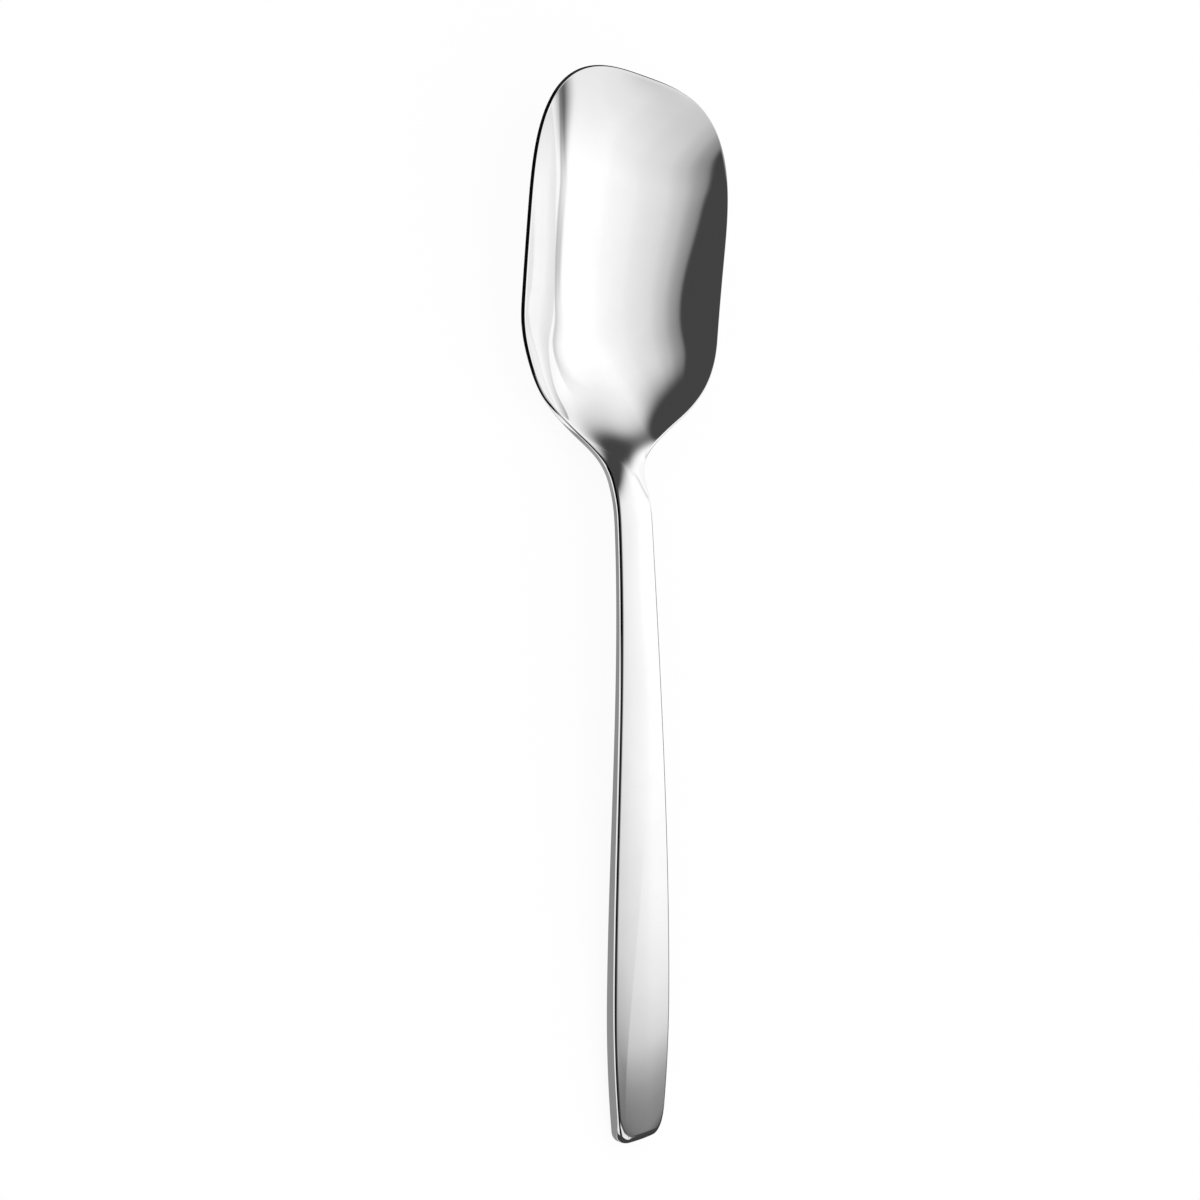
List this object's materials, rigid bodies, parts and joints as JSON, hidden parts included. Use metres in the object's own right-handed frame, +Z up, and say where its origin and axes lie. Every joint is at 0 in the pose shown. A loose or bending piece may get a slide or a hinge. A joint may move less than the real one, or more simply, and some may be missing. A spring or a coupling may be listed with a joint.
{
  "type": "serving spoon",
  "caption": "Polished stainless steel serving spoon with a square-ended shallow bowl, a slim neck and a long flat-backed handle that widens towards its end.",
  "frame": {"origin": "on the table under the middle of the spoon's length and width, with the spoon lying on its bowl and the end of its handle", "axes": "+Y along the spoon from the handle to the tip of the bowl, +Z up from the table, +X to the right when the spoon is seen from above with its bowl pointing away"},
  "size_m": [0.0622, 0.254, 0.0245],
  "materials": {
    "polished_steel": "polished"
  },
  "bodies": {
    "root": {"bowl": "polished_steel", "neck": "polished_steel", "handle": "polished_steel"}
  },
  "joints": []
}
